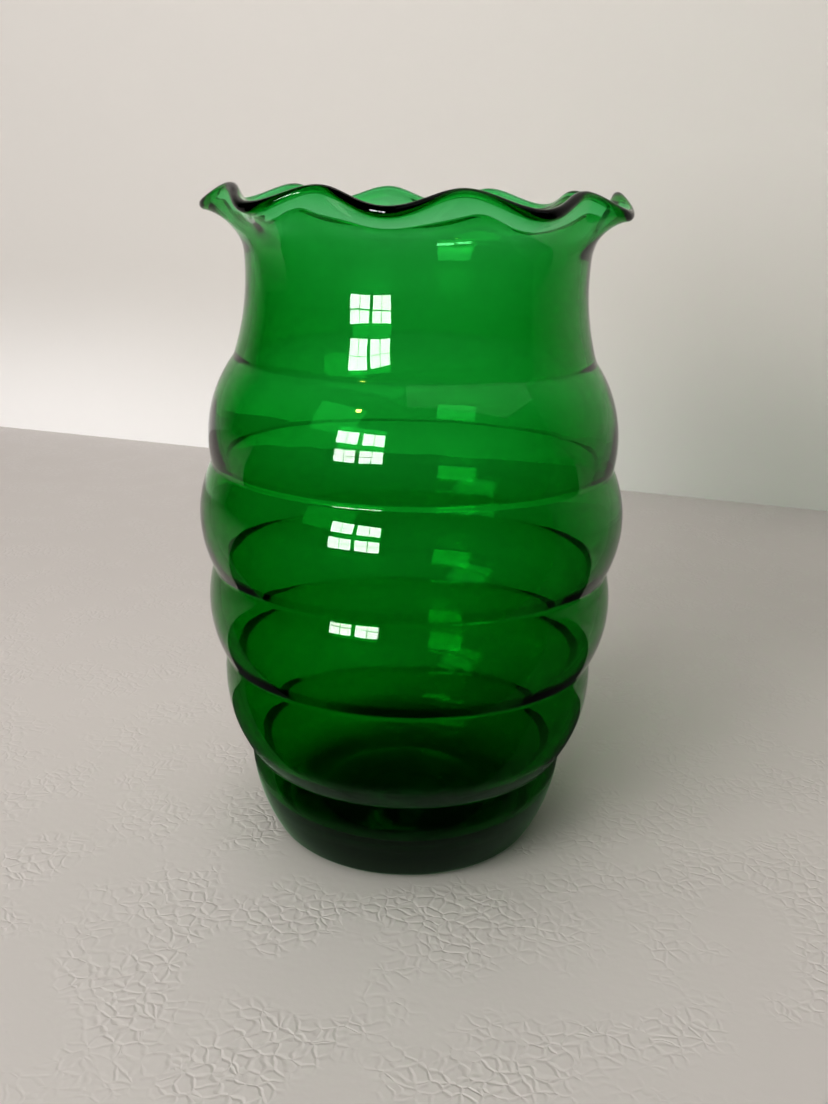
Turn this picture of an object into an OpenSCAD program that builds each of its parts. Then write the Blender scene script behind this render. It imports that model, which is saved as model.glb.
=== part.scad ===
// Green glass posy vase: ringed barrel body, short waisted neck, crimped and flared lip.
// It stands on z = 0 with its axis on Z. The front is -Y.
// The glass is one piece. Its zones divide it at its own creases, on level planes.

/* [View] */
// Zone of the glass to show

/* [Foot and base] */
// Outer radius of the foot, just above its rounded bottom edge
foot_r = 35.9; // [34.5:0.1:37]
// Radius of the rounded bottom edge
bottom_edge_r = 4; // [2:0.1:5]
// Height of the inside floor, round its edge
floor_z = 7; // [6:0.5:8]
// Rise of the swell in the middle of the floor
floor_swell = 8; // [4:0.5:9]
// Radius of the swell in the middle of the floor
floor_swell_r = 24; // [20:0.5:24.5]
// Radius of the hollow curve between the floor and the wall
floor_cove_r = 10; // [6:0.5:10]
// Wall thickness low in the foot
foot_wall_t = 4; // [3.6:0.1:4.4]
// Radius of the hollow under the base, where the standing ring begins
recess_r = 28; // [20:0.5:29]
// Height of the hollow under the base
recess_rise = 2; // [1:0.1:3]

/* [Body] */
// Height of the lowest crease, above the foot
crease_1_z = 23.5; // [22.5:0.1:25]
// Radius at the lowest crease
crease_1_r = 40.7; // [40:0.1:41.5]
// Height of the second crease
crease_2_z = 48.8; // [47.5:0.1:50]
// Radius at the second crease
crease_2_r = 46.6; // [46:0.1:47.2]
// Height of the third crease
crease_3_z = 72.3; // [71:0.1:73.5]
// Radius at the third crease
crease_3_r = 49.2; // [48.6:0.1:49.8]
// Height of the fourth crease
crease_4_z = 98; // [97:0.1:99]
// Radius at the fourth crease
crease_4_r = 49.2; // [48.6:0.1:49.8]
// Height of the crease under the neck
crease_5_z = 123.3; // [122.5:0.1:124]
// Radius at the crease under the neck
crease_5_r = 43.4; // [43:0.1:43.8]
// How far the foot bulges past a straight line
foot_bulge = 1.1; // [0.8:0.1:1.4]
// How far the lower and middle lobes bulge
lobe_bulge = 2.5; // [2.2:0.1:2.8]
// How far the widest lobe bulges
widest_bulge = 3.1; // [2.8:0.1:3.4]
// How far the shoulder lobe bulges
shoulder_bulge = 2.8; // [2.6:0.1:3]
// Radius that rounds each crease between lobes
crease_round = 1.2; // [0.8:0.1:2]
// Radius that rounds the crease under the neck
neck_round = 4; // [2:0.5:5]

/* [Neck] */
// Height where the neck begins to flare
neck_top_z = 147; // [146.5:0.1:147.5]
// Radius where the neck begins to flare
neck_top_r = 40.5; // [40.2:0.1:40.8]
// How far the neck is waisted
neck_waist = 1.2; // [1:0.1:1.4]

/* [Glass] */
// Wall thickness in the neck
wall_t = 2; // [1.6:0.1:2.4]
// How much thicker the wall has grown at the lowest crease
low_extra_t = 1.6; // [1:0.1:2]
// Extra thickness at the creases
crease_extra_t = 0.6; // [0.3:0.1:0.8]

/* [Crimped rim] */
// Number of crimps
crimps = 10; // [8:1:12]
// Height of the centre of the lip bead, half way between crest and dip
lip_z = 159; // [158.5:0.1:159.5]
// Radius of the centre of the lip bead, half way between crest and dip
lip_r = 47.2; // [46.5:0.1:47.8]
// Rise of a crest and fall of a dip
crimp_rise = 1.8; // [0.8:0.1:2.2]
// Pull inward at a crest and outward at a dip
crimp_reach = 1.8; // [0.8:0.1:2.2]
// Radius of the fire-polished bead
bead_r = 1.3; // [1.2:0.1:1.5]
// Direction of the first crest, from the front towards +X
crest_angle = 11; // [0:1:35]
// Drift of the crimps round the two sides, from crimping by hand
crimp_drift = 2.5; // [0:0.5:4]
// Slope of the glass at the lip, half way between crest and dip
lip_slope = 38; // [34:1:42]
// How much steeper the glass is at a crest, and flatter at a dip
slope_swing = 20; // [10:1:24]

/* [Hidden] */
$fn = 180;
glass = [0.02, 0.36, 0.12, 0.55];
thick_glass = [0.01, 0.2, 0.07, 0.7];
// Where the bead begins, as a turn from the way the lip runs
bead_start = 100;
// How far the flare keeps to the way of the neck, and then to the way of the bead
neck_pull = 4.5;
lip_pull = 3.5;
// Steps round the rim, along the flare and round the bead
steps = 180;
flare_steps = 9;
bead_steps = 12;
// A step of an arc is at most this many degrees, and shorter on a large circle
arc_turn = 12;
arc_reach = 60;
ridge_round = crease_round + wall_t;
foot_z = 4.4;
base_top_z = floor_z + 1.5;
recess_curve_r = (recess_r * recess_r + recess_rise * recess_rise) / (2 * recess_rise);
swell_curve_r = (floor_swell_r * floor_swell_r + floor_swell * floor_swell) / (2 * floor_swell);

// A bend is a circle seen in section: [centre, radius]. A hollow bend has a negative radius.
// It comes from its lower end, its upper end and how far it bulges.
function bend_radius(p, q, bulge) = (norm(q - p) * norm(q - p) / 4 + bulge * bulge) / (2 * bulge);
function outward(p, q) = [q.y - p.y, p.x - q.x] / norm(q - p);
function bend(p, q, bulge) =
    [(p + q) / 2 - outward(p, q) * (bend_radius(p, q, bulge) - bulge), bend_radius(p, q, bulge)];

// The bends of the outside, from the foot up
foot_out = bend([foot_r, foot_z], [crease_1_r, crease_1_z], foot_bulge);
lower_out = bend([crease_1_r, crease_1_z], [crease_2_r, crease_2_z], lobe_bulge);
middle_out = bend([crease_2_r, crease_2_z], [crease_3_r, crease_3_z], lobe_bulge);
widest_out = bend([crease_3_r, crease_3_z], [crease_4_r, crease_4_z], widest_bulge);
shoulder_out = bend([crease_4_r, crease_4_z], [crease_5_r, crease_5_z], shoulder_bulge);
neck_out = bend([crease_5_r, crease_5_z], [neck_top_r, neck_top_z], -neck_waist);

// The bends of the inside. The wall grows thicker towards the foot, and is thicker at the creases.
function crease_t(z) =
    wall_t + crease_extra_t + low_extra_t * (crease_5_z - z) / (crease_5_z - crease_1_z);
function inside(r, z) = [r - crease_t(z), z];
crease_1_in = inside(crease_1_r, crease_1_z);
crease_2_in = inside(crease_2_r, crease_2_z);
crease_3_in = inside(crease_3_r, crease_3_z);
crease_4_in = inside(crease_4_r, crease_4_z);
crease_5_in = inside(crease_5_r, crease_5_z);
neck_top_in = [neck_top_r - wall_t, neck_top_z];
foot_in = bend([foot_r - foot_wall_t, foot_z], crease_1_in, foot_bulge);
lower_in = bend(crease_1_in, crease_2_in, lobe_bulge + crease_extra_t);
middle_in = bend(crease_2_in, crease_3_in, lobe_bulge + crease_extra_t);
widest_in = bend(crease_3_in, crease_4_in, widest_bulge + crease_extra_t);
shoulder_in = bend(crease_4_in, crease_5_in, shoulder_bulge + crease_extra_t);
neck_in = bend(crease_5_in, neck_top_in, -neck_waist);

// Where circles of radius r1 round c1 and r2 round c2 cross: side 1 is to the right of c1 to c2
function crossing(c1, r1, c2, r2, side) =
    let (d = norm(c2 - c1))
    let (along = (r1 * r1 - r2 * r2 + d * d) / (2 * d))
    let (u = (c2 - c1) / d)
    c1 + u * along + [u.y, -u.x] * side * sqrt(r1 * r1 - along * along);

// The circle of radius q that rounds the crease between two bends
function rounding(b1, b2, q) =
    crossing(b1[0], abs(b1[1] + q), b2[0], abs(b2[1] + q), b2[1] > 0 ? 1 : -1);
function touch(b, centre, q) = b[0] + (centre - b[0]) * b[1] / (b[1] + q);

// The circle of radius q that fits inside a bend and rests on the level z
function corner(b, q, z) =
    [b[0].x + sqrt((b[1] - q) * (b[1] - q) - (z + q - b[0].y) * (z + q - b[0].y)), z + q];

function heading(c, p) = (atan2(p.y - c.y, p.x - c.x) + 450) % 360 - 90;
function arc(c, r, a, b) =
    let (n = max(2, ceil(abs(b - a) * (r / arc_reach + 1 / arc_turn))))
    [for (i = [0:n]) c + r * [cos(a + (b - a) * i / n), sin(a + (b - a) * i / n)]];
function along_bend(b, p, q) = arc(b[0], abs(b[1]), heading(b[0], p), heading(b[0], q));
function bend_at(b, z) = [b[0].x + sign(b[1]) * sqrt(b[1] * b[1] - (z - b[0].y) * (z - b[0].y)), z];
function rounding_at(c, q, z) = [c.x - sqrt(q * q - (z - c.y) * (z - c.y)), z];

// Half of a rounded crease, on each side of the level z that divides two zones
function below_crease(b1, b2, q, z) =
    let (c = rounding(b1, b2, q))
    arc(c, q, heading(c, touch(b1, c, q)), heading(c, rounding_at(c, q, z)));
function above_crease(b1, b2, q, z) =
    let (c = rounding(b1, b2, q))
    arc(c, q, heading(c, rounding_at(c, q, z)), heading(c, touch(b2, c, q)));
function touch_below(b1, b2, q) = touch(b1, rounding(b1, b2, q), q);
function touch_above(b1, b2, q) = touch(b2, rounding(b1, b2, q), q);

// One side of a lobe from the crease under it, rounded by q1, to the crease over it, rounded by q2
function lobe_side(b1, b2, b3, q1, q2, z1, z2) = concat(
    above_crease(b1, b2, q1, z1),
    along_bend(b2, touch_above(b1, b2, q1), touch_below(b2, b3, q2)),
    below_crease(b2, b3, q2, z2)
);

function reversed(list) = [for (i = [len(list) - 1:-1:0]) list[i]];

module ring_zone(out, in) {
    rotate_extrude() polygon(concat(out, reversed(in)));
}

// The rim. Directions are measured from the front towards +X; wave is 1 at a crest and -1 at a dip.
function wave(a) = cos(crimps * (a - crest_angle - crimp_drift * sin(a)));
function slope(a) = lip_slope + slope_swing * wave(a);
function bead_centre(a) = [lip_r - crimp_reach * wave(a), lip_z + crimp_rise * wave(a)];
function lip_way(a) = [cos(slope(a)), sin(slope(a))];
function lip_under(a) = [sin(slope(a)), -cos(slope(a))];
function bead_point(a, turn) =
    bead_centre(a) + bead_r * (lip_way(a) * cos(turn) + lip_under(a) * sin(turn));
function bead_heading(a, turn) = lip_way(a) * sin(turn) - lip_under(a) * cos(turn);

// The flare's faces are smooth curves from the neck to where the bead begins
function curve(p, p1, q1, q, s) =
    p * pow(1 - s, 3) + 3 * p1 * s * pow(1 - s, 2) + 3 * q1 * s * s * (1 - s) + q * pow(s, 3);
function neck_end_way(b) = let (v = bend_at(b, neck_top_z) - b[0]) [v.y, -v.x] / b[1];
function flare_point(b, a, turn, s) =
    let (p = bend_at(b, neck_top_z))
    let (q = bead_point(a, turn))
    let (way = bead_heading(a, abs(turn)))
    let (back = turn > 0 ? way : way + 2 * lip_under(a) * cos(turn))
    curve(p, p + neck_end_way(b) * neck_pull, q - back * lip_pull, q, s);
flare_loop = concat(
    [for (i = [0:flare_steps]) [1, i / flare_steps]],
    [for (i = [flare_steps:-1:0]) [-1, i / flare_steps]]
);
function flare_at(a, k) = k[0] > 0
    ? flare_point(neck_out, a, bead_start, k[1])
    : flare_point(neck_in, a, -bead_start, k[1]);
function bead_at(a, i) = bead_point(a, bead_start - 2 * bead_start * i / bead_steps);

// A closed ring from a loop of section points at each direction round the axis
function direction(j) = j * 360 / steps;
function placed(a, p) = [p.x * sin(a), -p.x * cos(a), p.y];
module loop_ring(points, n, lean) {
    faces = [
        for (j = [0:steps - 1])
        for (i = [0:n - 1])
        let (a = j * n + i)
        let (b = j * n + (i + 1) % n)
        let (c = ((j + 1) % steps) * n + (i + 1) % n)
        let (d = ((j + 1) % steps) * n + i)
        each lean ? [[a, b, c], [a, c, d]] : [[a, b, d], [b, c, d]]
    ];
    polyhedron(points = points, faces = faces, convexity = 6);
}

// Thick glass under the floor, swollen in the middle, and hollowed below so that it stands on a ring
module base() {
    edge = corner(foot_out, bottom_edge_r, 0);
    cove = corner(foot_in, floor_cove_r, floor_z);
    top = bend_at(foot_out, base_top_z);
    cove_top = [cove.x + sqrt(pow(floor_cove_r, 2) - pow(base_top_z - cove.y, 2)), base_top_z];
    under = arc(
        [0, recess_rise - recess_curve_r], recess_curve_r,
        90, 90 - asin(recess_r / recess_curve_r)
    );
    swell = arc(
        [0, floor_z + floor_swell - swell_curve_r], swell_curve_r,
        90 - asin(floor_swell_r / swell_curve_r), 90
    );
    edge_end = touch(foot_out, edge, -bottom_edge_r);
    color(thick_glass) rotate_extrude() polygon(concat(
        under,
        arc(edge, bottom_edge_r, -90, heading(edge, edge_end)),
        along_bend(foot_out, edge_end, top),
        reversed(arc(cove, floor_cove_r, -90, heading(cove, cove_top))),
        swell
    ));
}

// Wall of the foot, from the base to the lowest crease
module foot_ring() {
    cove = corner(foot_in, floor_cove_r, floor_z);
    cove_start = [cove.x + sqrt(pow(floor_cove_r, 2) - pow(base_top_z - cove.y, 2)), base_top_z];
    cove_end = touch(foot_in, cove, -floor_cove_r);
    color(thick_glass) ring_zone(
        concat(
            along_bend(
                foot_out,
                bend_at(foot_out, base_top_z),
                touch_below(foot_out, lower_out, crease_round)
            ),
            below_crease(foot_out, lower_out, crease_round, crease_1_z)
        ),
        concat(
            arc(cove, floor_cove_r, heading(cove, cove_start), heading(cove, cove_end)),
            along_bend(foot_in, cove_end, touch_below(foot_in, lower_in, ridge_round)),
            below_crease(foot_in, lower_in, ridge_round, crease_1_z)
        )
    );
}

// First ring of the body, above the foot
module lower_lobe() {
    color(glass) ring_zone(
        lobe_side(foot_out, lower_out, middle_out, crease_round, crease_round, crease_1_z, crease_2_z),
        lobe_side(foot_in, lower_in, middle_in, ridge_round, ridge_round, crease_1_z, crease_2_z)
    );
}

// Second ring of the body
module middle_lobe() {
    color(glass) ring_zone(
        lobe_side(lower_out, middle_out, widest_out, crease_round, crease_round, crease_2_z, crease_3_z),
        lobe_side(lower_in, middle_in, widest_in, ridge_round, ridge_round, crease_2_z, crease_3_z)
    );
}

// Third and widest ring of the body
module widest_lobe() {
    color(glass) ring_zone(
        lobe_side(middle_out, widest_out, shoulder_out, crease_round, crease_round, crease_3_z, crease_4_z),
        lobe_side(middle_in, widest_in, shoulder_in, ridge_round, ridge_round, crease_3_z, crease_4_z)
    );
}

// Top ring of the body, which draws in to the neck
module shoulder_lobe() {
    color(glass) ring_zone(
        lobe_side(widest_out, shoulder_out, neck_out, crease_round, neck_round, crease_4_z, crease_5_z),
        lobe_side(widest_in, shoulder_in, neck_in, ridge_round, neck_round, crease_4_z, crease_5_z)
    );
}

// Waisted neck
module neck() {
    color(glass) ring_zone(
        concat(
            above_crease(shoulder_out, neck_out, neck_round, crease_5_z),
            along_bend(
                neck_out,
                touch_above(shoulder_out, neck_out, neck_round),
                [neck_top_r, neck_top_z]
            )
        ),
        concat(
            above_crease(shoulder_in, neck_in, neck_round, crease_5_z),
            along_bend(neck_in, touch_above(shoulder_in, neck_in, neck_round), neck_top_in)
        )
    );
}

// Flared wall that passes from the round neck to the crimped lip
module ruffled_flare() {
    points = [
        for (j = [0:steps - 1])
        for (k = flare_loop)
        placed(direction(j), flare_at(direction(j), k))
    ];
    color(glass) loop_ring(points, len(flare_loop), true);
}

// Rounded bead that finishes the crimped lip
module lip_bead() {
    points = [
        for (j = [0:steps - 1])
        for (i = [0:bead_steps])
        placed(direction(j), bead_at(direction(j), i))
    ];
    color(thick_glass) loop_ring(points, bead_steps + 1, false);
}

base();
foot_ring();
lower_lobe();
middle_lobe();
widest_lobe();
shoulder_lobe();
neck();
ruffled_flare();
lip_bead();
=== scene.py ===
"""Green glass posy vase on a pale table.

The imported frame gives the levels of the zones. The glass itself is one seamless body: its section is
drawn as arcs, spun round the axis, and crimped at the lip. Lengths are in metres, +Z is up and the
front is -Y.
"""

import math

import bpy
from mathutils import Matrix, Vector


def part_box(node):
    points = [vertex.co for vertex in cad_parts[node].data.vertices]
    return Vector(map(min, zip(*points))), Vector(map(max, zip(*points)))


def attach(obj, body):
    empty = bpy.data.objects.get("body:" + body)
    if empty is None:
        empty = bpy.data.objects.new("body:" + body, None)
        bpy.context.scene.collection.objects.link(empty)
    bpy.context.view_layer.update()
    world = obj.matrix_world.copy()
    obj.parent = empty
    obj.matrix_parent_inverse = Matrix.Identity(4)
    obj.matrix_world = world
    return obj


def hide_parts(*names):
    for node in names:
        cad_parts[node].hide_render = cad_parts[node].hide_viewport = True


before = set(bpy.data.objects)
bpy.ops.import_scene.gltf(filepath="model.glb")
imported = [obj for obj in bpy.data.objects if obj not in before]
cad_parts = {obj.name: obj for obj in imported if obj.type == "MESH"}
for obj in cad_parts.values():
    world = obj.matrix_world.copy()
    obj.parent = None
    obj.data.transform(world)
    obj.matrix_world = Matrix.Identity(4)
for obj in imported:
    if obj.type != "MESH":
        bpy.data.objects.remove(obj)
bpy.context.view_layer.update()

MM = 0.001


# ---------------------------------------------------------------- sizes of the glass
def top_of(node):
    """Level at which a zone of the frame ends."""
    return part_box(node)[1].z


ZONES_BELOW_CREASES = ("foot_ring", "lower_lobe", "middle_lobe", "widest_lobe", "shoulder_lobe")
CREASE_LEVELS = [top_of(node) for node in ZONES_BELOW_CREASES]
CREASE_RADII = [40.7 * MM, 46.6 * MM, 49.2 * MM, 49.2 * MM, 43.4 * MM]
LOBE_BULGES = [2.5 * MM, 2.5 * MM, 3.1 * MM, 2.8 * MM]
NECK_TOP_LEVEL = top_of("neck")
NECK_TOP_RADIUS = 40.5 * MM
NECK_WAIST = 1.2 * MM

FOOT_RADIUS = 35.9 * MM
FOOT_LEVEL = 4.4 * MM
FOOT_BULGE = 1.1 * MM
FOOT_WALL = 4.0 * MM
EDGE_ROUND = 4.0 * MM
FLOOR_LEVEL = 7.0 * MM
FLOOR_COVE = 10.0 * MM
FLOOR_SWELL = 8.0 * MM
SWELL_RADIUS = 24.0 * MM
RECESS_RADIUS = 28.0 * MM
RECESS_RISE = 2.0 * MM

WALL = 2.0 * MM
CREASE_EXTRA = 0.6 * MM
LOW_EXTRA = 1.6 * MM
CREASE_ROUND = 1.2 * MM
RIDGE_ROUND = CREASE_ROUND + WALL
NECK_ROUND = 4.0 * MM

CRIMPS = 10
LIP_LEVEL = 159.0 * MM
LIP_RADIUS = 47.2 * MM
CRIMP_RISE = 1.8 * MM
CRIMP_REACH = 1.8 * MM
BEAD_RADIUS = 1.3 * MM
FIRST_CREST = math.radians(11)
CRIMP_DRIFT = math.radians(2.5)
LIP_SLOPE = math.radians(38)
SLOPE_SWING = math.radians(20)
BEAD_START = math.radians(100)
NECK_PULL = 4.5 * MM
LIP_PULL = 3.5 * MM

TURNS = 260
FEWEST_STEPS = 3
ARC_STEP = math.radians(4)
LONGEST_STEP = 1.8 * MM
FLARE_STEPS = 16
BEAD_STEPS = 18
SEAM_GAP = 0.002 * MM


# ---------------------------------------------------------------- the section, as (radius, level)
class Bend:
    """An arc of the section, from its lower end, its upper end and how far it bulges. A hollow one has a
    negative radius."""

    def __init__(self, low, high, bulge):
        chord = high - low
        out = Vector((chord.y, -chord.x)).normalized()
        self.radius = (chord.length_squared / 4 + bulge * bulge) / (2 * bulge)
        self.centre = (low + high) / 2 - out * (self.radius - bulge)

    def at(self, level):
        rise = level - self.centre.y
        side = math.copysign(math.sqrt(self.radius**2 - rise**2), self.radius)
        return Vector((self.centre.x + side, level))

    def touch(self, centre, rounding):
        """Where a circle that rounds this bend off meets it."""
        return self.centre + (centre - self.centre) * self.radius / (self.radius + rounding)

    def along(self, start, end):
        return arc(self.centre, abs(self.radius), start, end)

    def corner(self, rounding, level):
        """Centre of the circle that fits inside the bend and rests on a level."""
        rise = level + rounding - self.centre.y
        reach = math.sqrt((self.radius - rounding) ** 2 - rise**2)
        return Vector((self.centre.x + reach, level + rounding))


def heading(centre, point):
    """Direction of a point from a centre, from -90 to 270 degrees."""
    angle = math.atan2(point.y - centre.y, point.x - centre.x)
    return (angle + 2.5 * math.pi) % (2 * math.pi) - 0.5 * math.pi


def arc(centre, radius, start, end):
    """Points from one point of a circle to another, both included."""
    a = heading(centre, start)
    b = heading(centre, end)
    count = max(FEWEST_STEPS, math.ceil(max(abs(b - a) / ARC_STEP, abs(b - a) * radius / LONGEST_STEP)))
    turns = [a + (b - a) * i / count for i in range(count + 1)]
    return [centre + radius * Vector((math.cos(t), math.sin(t))) for t in turns]


def dome(radius, level, rise):
    """Points of a shallow dome, from its edge up to the axis."""
    curve = (radius * radius + rise * rise) / (2 * rise)
    centre = Vector((0, level + rise - curve))
    return arc(centre, curve, Vector((radius, level)), Vector((0, level + rise)))


def rounding_centre(low, high, rounding):
    """Centre of the circle that rounds the crease between two bends."""
    r1 = abs(low.radius + rounding)
    r2 = abs(high.radius + rounding)
    apart = high.centre - low.centre
    along = (r1 * r1 - r2 * r2 + apart.length_squared) / (2 * apart.length)
    u = apart.normalized()
    side = 1 if high.radius > 0 else -1
    return low.centre + u * along + Vector((u.y, -u.x)) * side * math.sqrt(r1 * r1 - along * along)


def run_of_bends(bends, roundings, start, end):
    """The line that follows a stack of bends, rounded at each crease."""
    line = []
    here = start
    for low, high, rounding in zip(bends, bends[1:], roundings):
        centre = rounding_centre(low, high, rounding)
        leave = low.touch(centre, rounding)
        arrive = high.touch(centre, rounding)
        line += low.along(here, leave)[:-1] + arc(centre, rounding, leave, arrive)[:-1]
        here = arrive
    return line + bends[-1].along(here, end)


def crease_wall(level):
    """Thickness of the wall at a crease. It grows towards the foot."""
    share = (CREASE_LEVELS[-1] - level) / (CREASE_LEVELS[-1] - CREASE_LEVELS[0])
    return WALL + CREASE_EXTRA + LOW_EXTRA * share


def stack_of_bends(foot_inset, crease_insets, neck_inset, extra):
    """The bends of one face of the wall, from the foot to the neck. Insets draw the face towards the axis."""
    creases = [Vector((r - t, z)) for r, z, t in zip(CREASE_RADII, CREASE_LEVELS, crease_insets)]
    foot = Bend(Vector((FOOT_RADIUS - foot_inset, FOOT_LEVEL)), creases[0], FOOT_BULGE)
    lobes = [Bend(p, q, bulge + extra) for p, q, bulge in zip(creases, creases[1:], LOBE_BULGES)]
    neck = Bend(creases[-1], Vector((NECK_TOP_RADIUS - neck_inset, NECK_TOP_LEVEL)), -NECK_WAIST)
    return [foot] + lobes + [neck]


OUTSIDE = stack_of_bends(0, [0] * 5, 0, 0)
INSIDE = stack_of_bends(FOOT_WALL, [crease_wall(z) for z in CREASE_LEVELS], WALL, CREASE_EXTRA)


# ---------------------------------------------------------------- the crimped lip
def wave(turn):
    """1 at a crest of the crimps and -1 at a dip. The turn is measured from the front towards +X."""
    return math.cos(CRIMPS * (turn - FIRST_CREST - CRIMP_DRIFT * math.sin(turn)))


def bead_point(height, sweep):
    """A point of the bead, at a place on the wave, by its turn from the way the lip runs."""
    slope = LIP_SLOPE + SLOPE_SWING * height
    way = Vector((math.cos(slope), math.sin(slope)))
    under = Vector((math.sin(slope), -math.cos(slope)))
    centre = Vector((LIP_RADIUS - CRIMP_REACH * height, LIP_LEVEL + CRIMP_RISE * height))
    return centre + BEAD_RADIUS * (way * math.cos(sweep) + under * math.sin(sweep)), way, under


def flare_point(neck, height, sweep, share):
    """A point of a face of the flare, from the neck (share 0) to where the bead begins (share 1)."""
    start = neck.at(NECK_TOP_LEVEL)
    spoke = (start - neck.centre) / neck.radius
    end, way, under = bead_point(height, sweep)
    back = way * math.sin(abs(sweep)) - under * math.cos(sweep) * math.copysign(1, sweep)
    pull = start + Vector((-spoke.y, spoke.x)) * NECK_PULL
    push = end - back * LIP_PULL
    rest = 1 - share
    return start * rest**3 + 3 * pull * share * rest**2 + 3 * push * share**2 * rest + end * share**3


def lip_makers():
    """Functions of the wave's height, one for each point of the lip's section, out from the neck and back."""
    flare = [i / FLARE_STEPS for i in range(1, FLARE_STEPS + 1)]
    bead = [BEAD_START * (1 - 2 * i / BEAD_STEPS) for i in range(1, BEAD_STEPS)]
    outside = [lambda h, s=s: flare_point(OUTSIDE[-1], h, BEAD_START, s) for s in flare]
    edge = [lambda h, a=a: bead_point(h, a)[0] for a in bead]
    inner = [lambda h, s=s: flare_point(INSIDE[-1], h, -BEAD_START, s) for s in reversed(flare)]
    return outside + edge + inner


def glass_section():
    """The whole outline, from the middle of the underside, out, up, over the lip, down and in to the middle
    of the floor. Also the makers of the lip's points and the place of the first of them."""
    roundings = [CREASE_ROUND] * 4 + [NECK_ROUND]
    ridges = [RIDGE_ROUND] * 4 + [NECK_ROUND]

    recess = dome(RECESS_RADIUS, 0, RECESS_RISE)[::-1]
    edge_centre = OUTSIDE[0].corner(EDGE_ROUND, 0)
    edge_end = OUTSIDE[0].touch(edge_centre, -EDGE_ROUND)
    edge = arc(edge_centre, EDGE_ROUND, Vector((edge_centre.x, 0)), edge_end)
    outside = run_of_bends(OUTSIDE, roundings, edge_end, OUTSIDE[-1].at(NECK_TOP_LEVEL))

    cove_centre = INSIDE[0].corner(FLOOR_COVE, FLOOR_LEVEL)
    cove_end = INSIDE[0].touch(cove_centre, -FLOOR_COVE)
    inside = run_of_bends(INSIDE, ridges, cove_end, INSIDE[-1].at(NECK_TOP_LEVEL))
    cove = arc(cove_centre, FLOOR_COVE, Vector((cove_centre.x, FLOOR_LEVEL)), cove_end)
    floor = dome(SWELL_RADIUS, FLOOR_LEVEL, FLOOR_SWELL)[::-1]

    makers = lip_makers()
    below = recess + edge[:-1] + outside
    lip = [maker(0) for maker in makers]
    above = inside[::-1] + cove[:-1][::-1] + floor[::-1]
    return below + lip + above, makers, len(below)


# ---------------------------------------------------------------- mesh work
def blank_point(name, place):
    """A new mesh object of one point, in edit mode."""
    bpy.ops.object.select_all(action="DESELECT")
    bpy.ops.mesh.primitive_plane_add(size=MM, location=(0, 0, 0))
    piece = bpy.context.object
    piece.name = name
    piece.data.name = name
    bpy.ops.object.mode_set(mode="EDIT")
    bpy.ops.mesh.merge(type="CENTER")
    bpy.ops.transform.translate(value=place)
    return piece


def make_glass():
    """Draws the section, spins it round the axis and crimps the lip."""
    section, makers, lip_start = glass_section()
    places = [Vector((p.x, 0, p.y)) for p in section]
    glass = blank_point("vase_glass", places[0])
    for here, there in zip(places, places[1:]):
        bpy.ops.mesh.extrude_region_move(TRANSFORM_OT_translate={"value": there - here})
    bpy.ops.object.mode_set(mode="OBJECT")

    order = glass.data.attributes.new("outline_place", "INT", "POINT")
    order.data.foreach_set("value", range(len(places)))
    bpy.ops.object.mode_set(mode="EDIT")
    bpy.ops.mesh.select_all(action="SELECT")
    bpy.ops.mesh.spin(steps=TURNS, angle=2 * math.pi, center=(0, 0, 0), axis=(0, 0, 1))
    bpy.ops.mesh.select_all(action="SELECT")
    bpy.ops.mesh.remove_doubles(threshold=SEAM_GAP)
    bpy.ops.mesh.normals_make_consistent(inside=False)
    bpy.ops.object.mode_set(mode="OBJECT")

    crimp_lip(glass, makers, lip_start)
    glass.data.attributes.remove(glass.data.attributes["outline_place"])
    bpy.ops.object.shade_smooth()
    return glass


def crimp_lip(glass, makers, lip_start):
    """Moves each point of the lip's section to its place on the crimps."""
    order = glass.data.attributes["outline_place"].data
    for vertex in glass.data.vertices:
        step = order[vertex.index].value - lip_start
        if 0 <= step < len(makers):
            turn = math.atan2(vertex.co.x, -vertex.co.y)
            spot = makers[step](wave(turn))
            vertex.co = (spot.x * math.sin(turn), -spot.x * math.cos(turn), spot.y)


# ---------------------------------------------------------------- shader tools
class Link:
    """A node's output, with arithmetic that adds Math nodes."""

    def __init__(self, paint, socket):
        self.paint = paint
        self.socket = socket

    def maths(self, operation, a, b):
        return self.paint.node("ShaderNodeMath", {"operation": operation}, {0: a, 1: b})

    def __add__(self, other):
        return self.maths("ADD", self, other)

    def __mul__(self, other):
        return self.maths("MULTIPLY", self, other)

    __radd__ = __add__
    __rmul__ = __mul__


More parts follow.
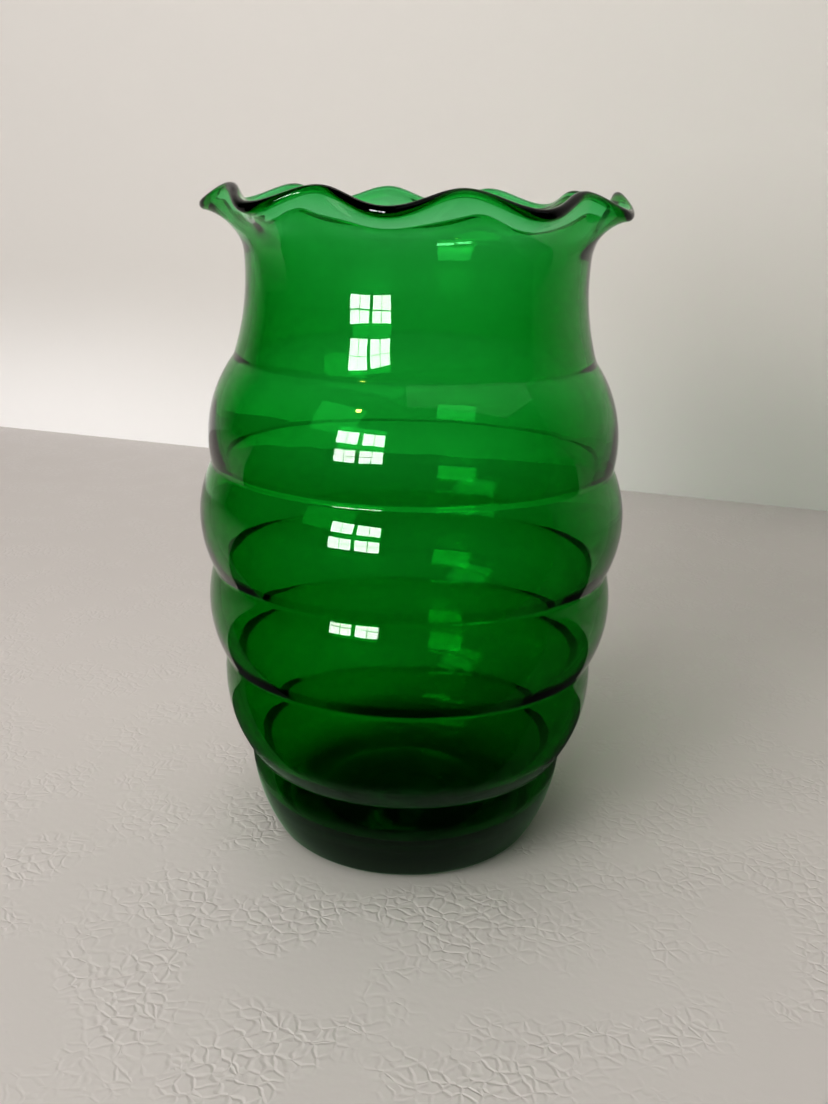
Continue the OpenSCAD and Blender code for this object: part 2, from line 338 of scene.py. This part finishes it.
class Paint:
    """A material's node tree, with its Principled shader ready."""

    def __init__(self, name, **plain):
        self.material = bpy.data.materials.new(name)
        self.material.use_nodes = True
        self.tree = self.material.node_tree
        self.shader = self.tree.nodes["Principled BSDF"]
        self.output = self.tree.nodes["Material Output"]
        self.place = self.node("ShaderNodeTexCoord", {}, {}, "Object")
        for socket, value in plain.items():
            self.shader.inputs[socket.replace("_", " ")].default_value = value

    def node(self, kind, settings, inputs, output=0):
        made = self.tree.nodes.new(kind)
        for key, value in settings.items():
            setattr(made, key, value)
        for key, value in inputs.items():
            if isinstance(value, Link):
                self.tree.links.new(value.socket, made.inputs[key])
            else:
                made.inputs[key].default_value = value
        return Link(self, made.outputs[output])

    def noise(self, scale, detail=2.0, roughness=0.5):
        inputs = {"Vector": self.place, "Scale": scale, "Detail": detail, "Roughness": roughness}
        return self.node("ShaderNodeTexNoise", {}, inputs, "Fac")

    def band(self, value, low, high, start=0.0, end=1.0):
        """Start where the value is low, end where it is high, and smooth between."""
        inputs = {"Value": value, "From Min": low, "From Max": high, "To Min": start, "To Max": end}
        return self.node("ShaderNodeMapRange", {"interpolation_type": "SMOOTHSTEP"}, inputs)

    def blend(self, share, a, b):
        """A colour between two colours."""
        return self.node("ShaderNodeMix", {"data_type": "RGBA"}, {0: share, 6: a, 7: b}, 2)

    def feed(self, socket, link):
        self.tree.links.new(link.socket, self.shader.inputs[socket])

    def fill(self, volume):
        """Fills the body of the piece."""
        self.tree.links.new(volume.socket, self.output.inputs["Volume"])

    def bump(self, height, distance, strength=1.0):
        inputs = {"Height": height, "Distance": distance, "Strength": strength}
        self.feed("Normal", self.node("ShaderNodeBump", {}, inputs, "Normal"))


# ---------------------------------------------------------------- materials
def green_glass():
    """Clear green glass with the slow ripple of blown glass and faint smears."""
    paint = Paint("green_glass", Transmission_Weight=1.0, IOR=1.5)
    ripple = paint.noise(38.0, 2.0)
    smear = paint.band(paint.noise(60.0, 4.0, 0.6), 0.5, 0.72)
    paint.feed("Roughness", 0.012 + 0.03 * smear)
    paint.feed("Base Color", paint.blend(smear, (1, 1, 1, 1), (0.965, 0.98, 0.965, 1)))
    paint.bump(ripple, 0.25 * MM)
    depth = {"Color": (0.0, 0.80, 0.31, 1), "Density": 820.0}
    paint.fill(paint.node("ShaderNodeVolumeAbsorption", {}, depth, "Volume"))
    return paint.material


def contact_paint():
    """The table round the foot as the glass mirrors it, with painted shade and painted green light: its
    colour is darker and greener than the table's, for the shade under the foot and the light that comes
    through the glass.
    """
    paint = Paint("contact_shade", Roughness=0.6, Specular_IOR_Level=0.2)
    reach = paint.node("ShaderNodeVectorMath", {"operation": "LENGTH"}, {0: paint.place}, "Value")
    tone = paint.noise(60.0)
    # Painted shade and painted green light: darker and greener than the table.
    paint.feed("Base Color", paint.blend(tone, (0.46, 0.66, 0.47, 1), (0.54, 0.74, 0.54, 1)))
    paint.feed("Alpha", paint.band(reach, 0.75 * CONTACT_RADIUS, CONTACT_RADIUS, 1.0, 0.0))
    return paint.material


def table_paint():
    """Pale warm table covering, embossed with fine creases like leather."""
    paint = Paint("pale_table", Roughness=0.42, Specular_IOR_Level=0.4)
    drift = {"Vector": paint.place, "Scale": 120.0, "Detail": 2.0}
    wander = paint.node("ShaderNodeTexNoise", {}, drift, "Color")
    bent = paint.node("ShaderNodeMix", {"data_type": "VECTOR"}, {0: 0.006, 4: paint.place, 5: wander}, 1)
    veins = {"Vector": bent, "Scale": 300.0, "Randomness": 1.0}
    crease = paint.node("ShaderNodeTexVoronoi", {"feature": "DISTANCE_TO_EDGE"}, veins, "Distance")
    patches = paint.band(paint.noise(45.0, 2.0), 0.4, 0.62)
    height = paint.band(crease, 0.0, 0.22) * patches + 0.35 * paint.noise(420.0, 3.0)
    tone = paint.noise(6.0, 3.0)
    paint.feed("Base Color", paint.blend(tone, (0.70, 0.665, 0.645, 1), (0.74, 0.705, 0.685, 1)))
    paint.feed("Roughness", paint.band(height, 0.1, 1.0, 0.5, 0.38))
    paint.bump(height, 0.2 * MM, 0.5)
    return paint.material


def wall_paint():
    """Matt off-white wall with painted light and shade: painted whitest low on the left as if lit there, with
    a painted greenish shadow low on the right, and painted duller and a little warmer higher up.
    """
    paint = Paint("pale_wall", Roughness=0.9, Specular_IOR_Level=0.2)
    across = paint.node("ShaderNodeSeparateXYZ", {}, {"Vector": paint.place}, "X")
    upward = paint.node("ShaderNodeSeparateXYZ", {}, {"Vector": paint.place}, "Y")
    cloud = 0.04 * paint.noise(3.0)
    # Painted shade: the share that darkens and greens the low wall towards the right, where the vase's shadow
    # falls.
    shade_across = paint.band(across + cloud, -0.25, 0.35)
    low = paint.blend(shade_across, (0.97, 0.96, 0.955, 1), (0.66, 0.67, 0.63, 1))
    # Painted shade higher up: duller and a little warmer than the painted light low on the left.
    high = paint.blend(shade_across, (0.72, 0.70, 0.675, 1), (0.75, 0.73, 0.70, 1))
    paint.feed("Base Color", paint.blend(paint.band(upward + cloud, 0.02, 0.14), low, high))
    return paint.material


# ---------------------------------------------------------------- stage, light and camera
FLOOR_SIZE = 6.0
FLOOR_JOIN = 0.05
FLOOR_LEVELS = (-0.06 * MM, -0.01 * MM)
CONTACT_RADIUS = 0.058
BACKDROP_PLACE = (0.024, 0.387, 0)
BACKDROP_TURN = math.radians(-18)
CAMERA_PLACE = (0.0009, -0.2779, 0.1622)
CAMERA_DOWN = 0.309
CAMERA_ROLL = 0.026
SENSOR_HEIGHT = 24.0
LENS = 24.92
WINDOW_PLACE = (-0.57, -1.05, 0.33)
SASH_SPACING = 0.15
PANE_SPACING = (0.066, 0.052)
PANE_SIZE = (0.124, 0.096)
PANE_BRIGHTNESS = 16.0
GLASS_TOP = (0, 0, 0.12)


def stage_sheet(name, material):
    """Keeps the new sheet as a part of the stage."""
    sheet = bpy.context.object
    sheet.name = name
    sheet.data.materials.append(material)
    return sheet


def make_stage():
    """A pale floor and wall. The glass mirrors the floor round its foot and behind it, but not in front."""
    low, high = FLOOR_LEVELS
    table = table_paint()
    half = FLOOR_SIZE / 2
    bpy.ops.object.select_all(action="DESELECT")
    bpy.ops.mesh.primitive_plane_add(size=FLOOR_SIZE, location=(0, half + FLOOR_JOIN, low))
    stage_sheet("floor", table)
    bpy.ops.mesh.primitive_plane_add(size=FLOOR_SIZE, location=(0, FLOOR_JOIN - half, low))
    near = stage_sheet("near_floor", table)
    near.visible_glossy = False
    # The contact disc is seen only in the glass's reflection and is coloured with painted shade and painted
    # green light.
    bpy.ops.mesh.primitive_circle_add(
        vertices=96, radius=CONTACT_RADIUS, fill_type="NGON", location=(0, 0, high)
    )
    contact = stage_sheet("contact_floor", contact_paint())
    contact.visible_camera = False
    contact.visible_diffuse = False
    contact.visible_transmission = False
    contact.visible_shadow = False
    turn = (math.radians(90), 0, BACKDROP_TURN)
    bpy.ops.mesh.primitive_plane_add(size=FLOOR_SIZE, location=BACKDROP_PLACE, rotation=turn)
    stage_sheet("backdrop", wall_paint())


def soft_light(name, place, aim, size, power, tint):
    """A rectangular softbox that lights the table and the wall but isn't mirrored in the glass."""
    lamp = bpy.data.lights.new(name, "AREA")
    lamp.shape = "RECTANGLE"
    lamp.size, lamp.size_y = size
    lamp.energy = power
    lamp.color = tint
    light = bpy.data.objects.new(name, lamp)
    bpy.context.scene.collection.objects.link(light)
    light.location = place
    light.rotation_euler = (Vector(aim) - Vector(place)).to_track_quat("-Z", "Y").to_euler()
    light.visible_glossy = False
    return light


def shine(name, place, aim, size, brightness, tint):
    """A softbox that shows only as a shine on the glass. Its brightness is that of its face."""
    light = soft_light(name, place, aim, size, brightness * math.pi * size[0] * size[1], tint)
    light.visible_glossy = True
    light.visible_diffuse = False
    light.visible_transmission = False
    return light


def make_window():
    """A window in front on the left: two casements across, two sashes high, and each sash of four panes."""
    middle = Vector(WINDOW_PLACE)
    aim = Vector(GLASS_TOP)
    upward = Vector((0, 0, 1))
    across = (aim - middle).cross(upward).normalized()
    wide, high = PANE_SPACING
    for column in (-1, 1):
        for row in (-1, 1):
            sash = middle + across * SASH_SPACING * column + upward * SASH_SPACING * row
            for side in (-1, 1):
                for level in (-1, 1):
                    place = sash + across * wide * side + upward * high * level
                    name = f"pane_{column}_{row}_{side}_{level}"
                    towards = place + aim - middle
                    shine(name, place, towards, PANE_SIZE, PANE_BRIGHTNESS, (1, 0.99, 0.97))


def make_lights():
    """A window, a warm lamp and the ceiling shine on the glass. Soft lights fall on the table and wall."""
    make_window()
    shine("warm_lamp", (-0.56, -0.80, 0.87), GLASS_TOP, (0.06, 0.05), 60.0, (1, 0.72, 0.16))
    shine("ceiling", (0.95, -0.45, 1.5), (0.95, -0.45, 0), (2.1, 1.8), 0.3, (0.95, 1, 0.97))
    soft_light("window_light", WINDOW_PLACE, GLASS_TOP, (0.55, 0.5), 5.6, (1, 0.98, 0.96))
    soft_light("key", (-0.85, -0.8, 0.7), (0.05, 0.05, 0.0), (0.6, 0.6), 4.8, (1, 0.975, 0.955))
    soft_light("overhead", (-0.2, -0.15, 0.9), (-0.05, 0.0, 0), (0.6, 0.5), 1.7, (1, 0.975, 0.95))

    world = bpy.data.worlds.new("room")
    bpy.context.scene.world = world
    world.use_nodes = True
    world.cycles_visibility.glossy = False
    background = world.node_tree.nodes["Background"]
    background.inputs["Color"].default_value = (0.9, 0.92, 0.9, 1)
    background.inputs["Strength"].default_value = 0.08


def make_camera():
    """Level with the rim, looking down at the vase from the front."""
    right = Vector((1, 0, 0))
    up = Vector((0, math.sin(CAMERA_DOWN), math.cos(CAMERA_DOWN)))
    forward = Vector((0, math.cos(CAMERA_DOWN), -math.sin(CAMERA_DOWN)))
    x_axis = right * math.cos(CAMERA_ROLL) + up * math.sin(CAMERA_ROLL)
    y_axis = up * math.cos(CAMERA_ROLL) - right * math.sin(CAMERA_ROLL)
    view = Matrix((x_axis, y_axis, -forward)).transposed().to_4x4()
    view.translation = CAMERA_PLACE

    data = bpy.data.cameras.new("camera")
    data.sensor_fit = "VERTICAL"
    data.sensor_height = SENSOR_HEIGHT
    data.lens = LENS
    data.clip_start = 0.01
    camera = bpy.data.objects.new("camera", data)
    bpy.context.scene.collection.objects.link(camera)
    camera.matrix_world = view
    bpy.context.scene.camera = camera


make_camera()
make_stage()
make_lights()

vase = make_glass()
vase.data.materials.append(green_glass())
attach(vase, "root")
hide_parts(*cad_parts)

bpy.context.scene.view_settings.view_transform = "Standard"
bpy.context.scene.view_settings.look = "High Contrast"
